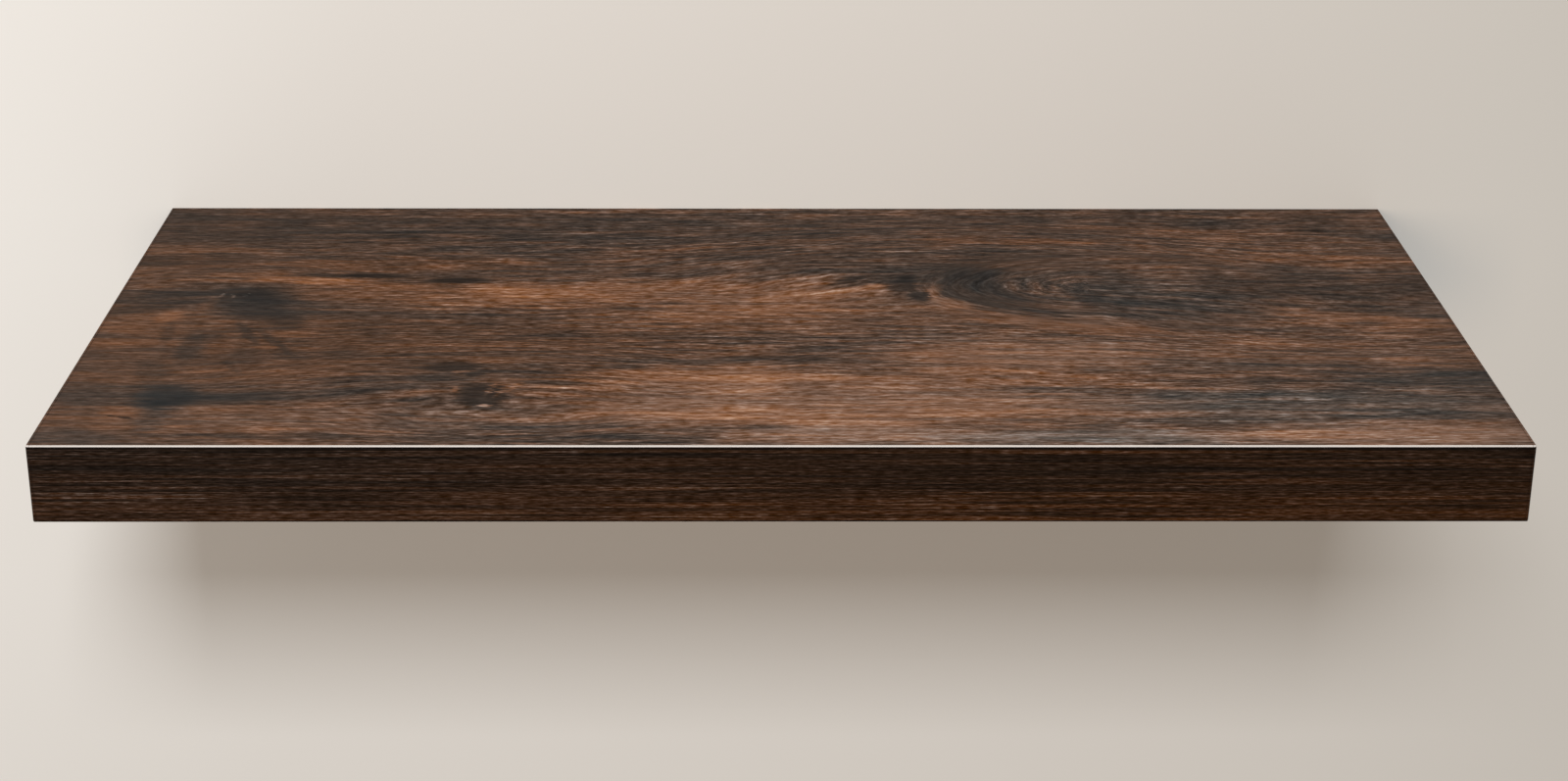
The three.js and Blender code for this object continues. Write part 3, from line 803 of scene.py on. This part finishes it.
def pine():
    """Planed softwood battens with the grain along the channel."""
    s = Surface("pine")
    x, y, z = s.place()
    wander_x = x + 9.0 * s.noise(x / 40.0, y / 170.0, z / 40.0)
    wander_z = z + 9.0 * s.noise(x / 40.0, y / 170.0, z / 40.0 + 7.0)
    centre_x = wander_x / RING_SPACING
    centre_z = (wander_z + PITH_DEPTH) / RING_SPACING
    distance = s.math("SQRT", centre_z * centre_z + RING_FLATNESS * centre_x * centre_x)
    ring = s.math("FRACT", distance)
    late = s.ease(ring, 0.35, 0.92) * s.ease(ring, 1.0, 0.93)
    fibre = s.noise(x / 0.5, y / 18.0, z / 0.5, detail=2.0)
    resin = s.noise(x / 9.0, y / 90.0, z / 9.0)
    colour = s.ramp(
        s.swing((fibre, 0.5), (resin, 0.3)) + 0.25 - 0.5 * late,
        (0.10, linear(158, 108, 60)),
        (0.45, linear(196, 150, 94)),
        (0.75, linear(219, 184, 131)),
        (1.00, linear(233, 206, 160)),
    )
    return s.finish(colour, 0.7, s.bump(fibre - 0.4 * late, 0.08), Specular_IOR_Level=0.3)


def core_paper():
    """Brown kraft paper of the honeycomb, with the fibres and a few creases showing."""
    s = Surface("core_paper")
    x, y, z = s.place()
    pulp = s.noise(x / 1.1, y / 1.1, z / 1.1, detail=4.0, roughness=0.7)
    crease = s.noise(x / 14.0, y / 14.0, z / 3.0, 3.0)
    colour = s.ramp(
        s.swing((pulp, 0.8), (crease, 0.7)),
        (0.20, linear(134, 104, 70)),
        (0.50, linear(172, 142, 102)),
        (0.80, linear(202, 176, 138)),
    )
    return s.finish(colour, 0.92, s.bump(0.5 * pulp + crease, 0.3), Specular_IOR_Level=0.15)


def powder_coat():
    """Fine black powder coat with an orange-peel surface."""
    s = Surface("black_steel")
    x, y, z = s.place()
    peel = s.noise(x / 0.9, y / 0.9, z / 0.9, detail=1.0)
    dust = s.noise(x / 0.25, y / 0.25, z / 0.25)
    wear = s.noise(x / 45.0, y / 45.0, z / 20.0, detail=3.0)
    colour = s.ramp(
        s.swing((wear, 0.7), (dust, 0.6)),
        (0.25, linear(24, 24, 26)),
        (0.55, linear(33, 33, 35)),
        (0.85, linear(47, 47, 50)),
    )
    rough = s.ease(wear, 0.3, 0.7, 0.44, 0.58)
    return s.finish(colour, rough, s.bump(peel, 0.06))


def black_plastic():
    """Moulded plugs with a fine spark-eroded grain."""
    s = Surface("black_plastic")
    x, y, z = s.place()
    spark = s.noise(x / 0.35, y / 0.35, z / 0.35, detail=2.0)
    scuff = s.noise(x / 3.0, y / 3.0, z / 3.0 + 5.0, detail=3.0)
    colour = s.ramp(
        s.swing((spark, 0.8), (scuff, 0.7)),
        (0.25, linear(17, 17, 18)),
        (0.60, linear(27, 27, 28)),
        (0.90, linear(45, 45, 46)),
    )
    return s.finish(colour, s.ease(scuff, 0.3, 0.7, 0.48, 0.66), s.bump(spark, 0.05))


def turned_metal(name, dark, mid, light, rough):
    """Bright metal with fine turning lines round z and a little tarnish."""
    s = Surface(name)
    x, y, z = s.place()
    lines = s.noise(x / 6.0, y / 6.0, z / 0.12, detail=2.0)
    tarnish = s.noise(x / 2.2, y / 2.2, z / 2.2, detail=4.0)
    tone = s.swing((tarnish, 1.1), (lines, 0.4))
    colour = s.ramp(tone, (0.25, dark), (0.50, mid), (0.75, light))
    roughness = s.ease(tarnish, 0.3, 0.7, rough, rough + 0.16)
    return s.finish(colour, roughness, s.bump(lines, 0.02), Metallic=1.0)


MATERIALS = {
    "decor_foil": decor(),
    "fibreboard": fibreboard(),
    "particleboard": particleboard(),
    "pine": pine(),
    "core_paper": core_paper(),
    "black_steel": powder_coat(),
    "black_plastic": black_plastic(),
    "brass": turned_metal(
        "brass", linear(150, 112, 56), linear(196, 156, 86), linear(226, 192, 122), 0.28
    ),
    "screw_steel": turned_metal(
        "screw_steel", linear(116, 118, 122), linear(158, 161, 166), linear(196, 198, 202), 0.26
    ),
}
MATERIALS["decor_band"] = MATERIALS["decor_foil"]


# Finer pieces in place of plain CAD rounds: threads, barbs, welds, tubes and their plugs

THREAD_PITCH = 1.0
THREAD_DEPTH = 0.55
AROUND = 64
ROWS_PER_TURN = 8
CRISP_DEG = 35

# How much steeper a thread's flanks are than a plain zigzag's, and how far that is shifted to
# leave both its crest and its root flat
THREAD_FLANK = 1.4
THREAD_CREST = 0.2


def box_mm(node):
    low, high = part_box(node)
    return Vector(low) / MM, Vector(high) / MM


def thread(radius, height, angle):
    """The radius of an outside thread at this height and angle, flat at root and crest."""
    turn = (height / THREAD_PITCH - angle / (2 * math.pi)) % 1.0
    wave = abs(2.0 * turn - 1.0)
    return radius - THREAD_DEPTH * min(1.0, max(0.0, THREAD_FLANK * wave - THREAD_CREST))


def rings_mesh(name, rings, closed, caps=()):
    """Joins rings of points with faces. Each cap is (ring number, middle point)."""
    count = len(rings[0])
    points = [point for ring in rings for point in ring]
    steps = len(rings) if closed else len(rings) - 1
    faces = []
    for i in range(steps):
        a, b = i * count, (i + 1) % len(rings) * count
        faces += [(a + j, a + (j + 1) % count, b + (j + 1) % count, b + j) for j in range(count)]
    for number, middle in caps:
        a = number % len(rings) * count
        faces += [(len(points), a + j, a + (j + 1) % count) for j in range(count)]
        points.append(middle)
    mesh = bpy.data.meshes.new(name)
    mesh.from_pydata([Vector(point) * MM for point in points], [], faces)
    made = bpy.data.objects.new(name, mesh)
    bpy.context.scene.collection.objects.link(made)
    tidy = bmesh.new()
    tidy.from_mesh(mesh)
    bmesh.ops.recalc_face_normals(tidy, faces=tidy.faces)
    tidy.to_mesh(mesh)
    tidy.free()
    mesh.shade_smooth()
    mesh.set_sharp_from_angle(angle=math.radians(CRISP_DEG))
    return made


def upright_ring(middle, height, radius_at):
    """Points round a vertical axis. radius_at gives the radius at each angle."""
    angles = (2 * math.pi * i / AROUND for i in range(AROUND))
    return [
        (middle.x + radius_at(a) * math.cos(a), middle.y + radius_at(a) * math.sin(a), height)
        for a in angles
    ]


def hexagon(across_flats):
    """The radius of a hexagon at each angle."""
    return lambda angle: across_flats / 2 / math.cos((angle % (math.pi / 3)) - math.pi / 6)


def stand_in(piece, node, body, slot):
    piece.data.materials.append(MATERIALS[slot])
    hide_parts(node)
    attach(piece, body)


SCREW_CHAMFER = 0.8
SOCKET_ACROSS_FLATS = 3.0
SOCKET_DEPTH = 5.0
SOCKET_LEAD = 0.25


def lock_screw(side):
    """A socket set screw with its M6 thread."""
    node = f"lock_screw_{side}"
    low, high = box_mm(node)
    middle = (low + high) / 2
    radius = (high.x - low.x) / 2
    mouth = hexagon(SOCKET_ACROSS_FLATS + 2 * SOCKET_LEAD)
    socket = hexagon(SOCKET_ACROSS_FLATS)
    floor_z = low.z + SOCKET_DEPTH
    rings = [
        upright_ring(middle, floor_z, socket),
        upright_ring(middle, low.z + SOCKET_LEAD, socket),
        upright_ring(middle, low.z, mouth),
    ]
    rows = round((high.z - low.z) / THREAD_PITCH * ROWS_PER_TURN)
    for row in range(rows + 1):
        height = low.z + (high.z - low.z) * row / rows
        bevel = radius - SCREW_CHAMFER + min(height - low.z, high.z - height)
        rings.append(
            upright_ring(middle, height, lambda a: min(bevel, thread(radius, height, a)))
        )
    caps = ((0, (middle.x, middle.y, floor_z)), (-1, (middle.x, middle.y, high.z)))
    piece = rings_mesh(f"{node}_threaded", rings, False, caps)
    stand_in(piece, node, node, "screw_steel")


INSERT_BORE = 3.3
BARB_DEPTH = 0.5
BARB_COUNT = 4
BARB_MARGIN = 2.0
BARB_RISE_SHARE = 0.85


def threaded_insert(side):
    """A press-in brass insert: barbs outside and an M6 thread inside."""
    node = f"threaded_insert_{side}"
    low, high = box_mm(node)
    middle = (low + high) / 2
    radius = (high.x - low.x) / 2
    spacing = (high.z - low.z - 2 * BARB_MARGIN) / BARB_COUNT

    def plain(size):
        return lambda angle: size

    rings = [upright_ring(middle, low.z, plain(INSERT_BORE + THREAD_DEPTH))]
    rings.append(upright_ring(middle, low.z, plain(radius)))
    rings.append(upright_ring(middle, low.z + BARB_MARGIN, plain(radius)))
    for barb in range(BARB_COUNT):
        height = low.z + BARB_MARGIN + barb * spacing
        rings.append(upright_ring(middle, height, plain(radius - BARB_DEPTH)))
        top = height + BARB_RISE_SHARE * spacing
        rings.append(upright_ring(middle, top, plain(radius)))
    rings.append(upright_ring(middle, high.z - BARB_MARGIN, plain(radius - BARB_DEPTH)))
    rings.append(upright_ring(middle, high.z, plain(radius - BARB_DEPTH)))
    rows = round((high.z - low.z) / THREAD_PITCH * ROWS_PER_TURN)
    for row in range(rows + 1):
        height = high.z - (high.z - low.z) * row / rows
        rings.append(
            upright_ring(
                middle, height, lambda a: thread(INSERT_BORE + THREAD_DEPTH, height, a)
            )
        )
    piece = rings_mesh(f"{node}_barbed", rings, True)
    stand_in(piece, node, "shelf", "brass")


# A weld is a row of ripples, each with its own steps. Swells make it a little uneven, and its
# face is hollowed by a share of its size.
WELD_RIPPLES = 22
WELD_RIPPLE_DEPTH = 0.30
WELD_DROP_SHARE = 0.96
WELD_STEPS = 9
WELD_SWELL = 0.12
WELD_SWELLS = 5
WELD_FACE_STEPS = 6
WELD_HOLLOW_SHARE = 0.20


def weld_section(leg, number):
    """The fillet's outline at one of its steps round the tube, as (out, along) points."""
    drop = (number % WELD_STEPS) / WELD_STEPS
    angle = 2 * math.pi * number / (WELD_RIPPLES * WELD_STEPS)
    size = leg - WELD_RIPPLE_DEPTH * (1.0 - math.sqrt(1.0 - WELD_DROP_SHARE * drop * drop))
    size -= WELD_SWELL * (1.0 + math.sin(WELD_SWELLS * angle))
    section = [(0.0, 0.0)]
    for step in range(WELD_FACE_STEPS + 1):
        turn = math.pi / 2 * step / WELD_FACE_STEPS
        reach = size * (1.0 - WELD_HOLLOW_SHARE * (1.0 - abs(math.cos(2 * turn))))
        section.append((reach * math.cos(turn), reach * math.sin(turn)))
    return section


def weld(side):
    """A fillet weld laid as overlapping drops, a little uneven on its way round."""
    node = f"weld_ring_{side}"
    low, high = box_mm(node)
    middle = (low + high) / 2
    leg = high.y - low.y
    inner = (high.x - low.x) / 2 - leg
    around = WELD_RIPPLES * WELD_STEPS
    rings = []
    for number in range(around):
        angle = 2 * math.pi * number / around
        ring = [
            (
                middle.x + (inner + out) * math.cos(angle),
                high.y - along,
                middle.z + (inner + out) * math.sin(angle),
            )
            for out, along in weld_section(leg, number)
        ]
        rings.append(ring)
    piece = rings_mesh(f"{node}_rippled", rings, True)
    stand_in(piece, node, "bracket", "black_steel")


TUBE_WALL = 2.0
TUBE_BURR = 0.25


def level_ring(middle, radius, y):
    """Points round an axis that runs along y."""
    angles = (2 * math.pi * i / AROUND for i in range(AROUND))
    return [
        (middle.x + radius * math.cos(a), y, middle.z + radius * math.sin(a)) for a in angles
    ]


def support_tube(side):
    """A round tube with its cut ends deburred."""
    node = f"support_tube_{side}"
    low, high = box_mm(node)
    outer = (high.x - low.x) / 2
    inner = outer - TUBE_WALL
    rings = [
        level_ring((low + high) / 2, radius, y)
        for radius, y in (
            (outer - TUBE_BURR, high.y),
            (outer, high.y - TUBE_BURR),
            (outer, low.y + TUBE_BURR),
            (outer - TUBE_BURR, low.y),
            (inner + TUBE_BURR, low.y),
            (inner, low.y + TUBE_BURR),
            (inner, high.y - TUBE_BURR),
            (inner + TUBE_BURR, high.y),
        )
    ]
    piece = rings_mesh(f"{node}_deburred", rings, True)
    stand_in(piece, node, "bracket", "black_steel")


PLUG_HEAD = 3.0
PLUG_ROUND = 1.4
PLUG_ROUND_STEPS = 6
PLUG_LIP = 0.2
PLUG_STEM_RADIUS = 6.7
PLUG_RIBS = 3
PLUG_RIB_DEPTH = 0.7
PLUG_RIB_FALL_SHARE = 1.2
PLUG_DISH = 0.4
PLUG_DISH_RIM_SHARE = 0.75
PLUG_DISH_FLOOR_SHARE = 0.65


def plug_profile(outer, front, back):
    """Radius and y along a plug, from the end of its ribbed stem to the dish in its head."""
    head_back = front + PLUG_HEAD
    root = PLUG_STEM_RADIUS - PLUG_RIB_DEPTH
    rib = (back - head_back) / (2 * PLUG_RIBS)
    profile = []
    for number in range(PLUG_RIBS):
        start = back - 2 * number * rib
        profile.append((root, start))
        profile.append((PLUG_STEM_RADIUS, start - rib))
        profile.append((root, start - PLUG_RIB_FALL_SHARE * rib))
    profile.append((root, head_back))
    profile.append((outer - PLUG_LIP, head_back))
    profile.append((outer, head_back - PLUG_LIP))
    for step in range(PLUG_ROUND_STEPS + 1):
        turn = math.pi / 2 * step / PLUG_ROUND_STEPS
        radius = outer - PLUG_ROUND * (1 - math.cos(turn))
        profile.append((radius, front + PLUG_ROUND * (1 - math.sin(turn))))
    profile.append((PLUG_DISH_RIM_SHARE * outer, front))
    profile.append((PLUG_DISH_FLOOR_SHARE * outer, front + PLUG_DISH))
    return profile


def tube_plug(side):
    """A moulded plug: a rounded head with a shallow dish, and ribs on its stem."""
    node = f"tube_plug_{side}"
    low, high = box_mm(node)
    middle = (low + high) / 2
    profile = plug_profile((high.x - low.x) / 2, low.y, high.y)
    rings = [level_ring(middle, radius, y) for radius, y in profile]
    caps = ((0, (middle.x, high.y, middle.z)), (-1, (middle.x, low.y + PLUG_DISH, middle.z)))
    piece = rings_mesh(f"{node}_moulded", rings, False, caps)
    stand_in(piece, node, "bracket", "black_plastic")


# Stage: a wall behind the shelf and a pale floor well below it

WALL_HALF_WIDTH = 3.0
WALL_TOP = 2.6
FLOOR_Z = -0.95
FLOOR_HALF = 5.0
WALL_GAP = 0.5 * MM


def seen_directly(nodes, links):
    """1 for the rays that look at a thing, straight or in a reflection, and 0 for its light."""
    rays = nodes.new("ShaderNodeLightPath").outputs
    total = rays["Is Camera Ray"]
    for name in ("Is Glossy Ray", "Is Transmission Ray"):
        added = nodes.new("ShaderNodeMath")
        added.operation = "ADD"
        added.use_clamp = True
        links.new(total, added.inputs[0])
        links.new(rays[name], added.inputs[1])
        total = added.outputs[0]
    return total


def backdrop(s, colour):
    """Matt paint that is seen from its front only and doesn't keep light from the shelf."""
    matt = s.node("ShaderNodeBsdfDiffuse", {"Color": colour})
    clear = s.node("ShaderNodeBsdfTransparent")
    in_front = 1.0 - s.node("ShaderNodeNewGeometry", output="Backfacing")
    seen = Field(s, seen_directly(s.tree.nodes, s.tree.links)) * in_front
    mix = s.node("ShaderNodeMixShader", {0: seen, 1: clear, 2: matt})
    s.tree.links.new(mix.socket, s.output.inputs["Surface"])
    return s.material


# How fast painted light on the wall falls off to the right, at the shelf's height and more for
# each metre up
WALL_PAINTED_FALLOFF = 0.47
WALL_PAINTED_FALLOFF_RISE = 0.25


def wall_paint():
    """The wall's pale paint, with painted light that makes it paler towards the upper left."""
    s = Surface("wall_paint")
    x, _, z = s.split(s.node("ShaderNodeTexCoord", output="Object"))
    # Painted light: a fall of light from the upper left, brightest there and darker to the right
    colour = s.ramp(
        x * (WALL_PAINTED_FALLOFF + WALL_PAINTED_FALLOFF_RISE * z) + 0.5,
        (0.18, linear(236, 236, 234)),
        (0.35, linear(222, 221, 218)),
        (0.60, linear(211, 209, 205)),
        (0.82, linear(197, 195, 190)),
    )
    return backdrop(s, colour)


def floor_paint():
    return backdrop(Surface("floor_paint"), linear(222, 215, 206))


def panel(name, corners, material):
    mesh = bpy.data.meshes.new(name)
    mesh.from_pydata(corners, [], [range(len(corners))])
    mesh.materials.append(material)
    made = bpy.data.objects.new(name, mesh)
    bpy.context.scene.collection.objects.link(made)
    made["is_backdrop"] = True
    return made


def build_stage():
    wall = panel(
        "wall",
        [
            (-WALL_HALF_WIDTH, WALL_GAP, FLOOR_Z),
            (WALL_HALF_WIDTH, WALL_GAP, FLOOR_Z),
            (WALL_HALF_WIDTH, WALL_GAP, WALL_TOP),
            (-WALL_HALF_WIDTH, WALL_GAP, WALL_TOP),
        ],
        wall_paint(),
    )
    floor = panel(
        "floor",
        [
            (-FLOOR_HALF, -FLOOR_HALF, FLOOR_Z),
            (FLOOR_HALF, -FLOOR_HALF, FLOOR_Z),
            (FLOOR_HALF, FLOOR_HALF, FLOOR_Z),
            (-FLOOR_HALF, FLOOR_HALF, FLOOR_Z),
        ],
        floor_paint(),
    )
    return wall, floor


# Light


def watts(brightness, place, aim):
    """The power of a softbox that lights a white surface at aim to this brightness."""
    reach = Vector(aim) - Vector(place)
    return brightness * math.pi**2 * reach.length_squared


def softbox(name, place, aim, width, height, receivers, brightness, colour):
    light = bpy.data.lights.new(name, "AREA")
    light.color = colour[:3]
    light.shape = "RECTANGLE"
    light.size = width
    light.size_y = height
    light.energy = watts(brightness, place, aim)
    made = bpy.data.objects.new(name, light)
    made.location = place
    made.rotation_euler = (Vector(aim) - Vector(place)).to_track_quat("-Z", "Y").to_euler()
    made.visible_camera = False
    made.light_linking.receiver_collection = receivers
    bpy.context.scene.collection.objects.link(made)


def group(name, objects):
    made = bpy.data.collections.new(name)
    for item in objects:
        made.objects.link(item)
    return made


WHITE = linear(255, 255, 255)
WARM = linear(255, 226, 196)

# Lamps as name, place, aim, width, height, what they light, how bright they make a white
# surface that faces them, where 1 shows it as white, and their colour
LAMPS = (
    ("wall_key", (0.14, -5.0, 3.2), (0.0, 0.0, -0.1), 1.25, 1.2, "wall", 0.38, WHITE),
    ("wall_side", (-0.20, -2.5, 1.43), (0.0, 0.0, -0.1), 0.5, 0.54, "wall", 0.26, WHITE),
    ("wall_fill", (-0.4, -5.5, 0.4), (0.0, 0.0, 0.0), 0.9, 0.8, "wall", 0.22, WARM),
    ("shelf_key", (-0.4, -1.3, 2.4), (0.0, -0.225, 0.0), 2.4, 1.2, "shelf", 0.75, WHITE),
    ("shelf_back", (0.9, 2.4, -0.3), (0.0, 0.0, 0.0), 1.6, 1.0, "shelf", 0.35, WHITE),
    ("shelf_under", (-0.3, 0.2, -2.2), (0.0, -0.2, 0.0), 1.6, 1.0, "shelf", 0.38, WHITE),
    ("floor_light", (0.0, 0.0, 6.0), (0.0, 0.0, -1.0), 5.0, 5.0, "floor", 0.60, WHITE),
)

# The room's colour, how bright it lights things, and how bright it looks itself
ROOM_COLOUR = linear(255, 252, 248)
ROOM = 0.28
ROOM_SEEN = 0.72


def build_light(wall, floor):
    receivers = {
        "wall": group("lit_wall", [wall]),
        "floor": group("lit_floor", [floor]),
        "shelf": group("lit_shelf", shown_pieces()),
    }
    for name, place, aim, width, height, lit, brightness, colour in LAMPS:
        softbox(name, place, aim, width, height, receivers[lit], brightness, colour)
    world = bpy.data.worlds.new("room")
    world.use_nodes = True
    nodes, links = world.node_tree.nodes, world.node_tree.links
    background = nodes["Background"]
    background.inputs["Color"].default_value = ROOM_COLOUR
    strength = nodes.new("ShaderNodeMapRange")
    strength.inputs["To Min"].default_value = ROOM
    strength.inputs["To Max"].default_value = ROOM_SEEN
    links.new(seen_directly(nodes, links), strength.inputs["Value"])
    links.new(strength.outputs["Result"], background.inputs["Strength"])
    bpy.context.scene.world = world


def build_camera():
    lens = bpy.data.cameras.new("camera")
    lens.lens = CAMERA_LENS_MM
    lens.sensor_width = CAMERA_SENSOR_MM
    lens.sensor_fit = "HORIZONTAL"
    made = bpy.data.objects.new("camera", lens)
    made.location = CAMERA_PLACE
    made.rotation_euler = [math.radians(turn) for turn in CAMERA_TURN_DEG]
    bpy.context.scene.collection.objects.link(made)
    bpy.context.scene.camera = made


def dress(node, material):
    data = frame["nodes"][node].data
    data.materials.clear()
    data.materials.append(material)


for entry in frame["record"]["subparts"]:
    dress(entry["node"], MATERIALS[entry["material_slot"]])

for side in ("left", "right"):
    lock_screw(side)
    threaded_insert(side)
for side in ("left", "centre", "right"):
    weld(side)
    support_tube(side)
    tube_plug(side)

wall, floor = build_stage()
build_light(wall, floor)
build_camera()

bpy.context.scene.view_settings.view_transform = "Standard"
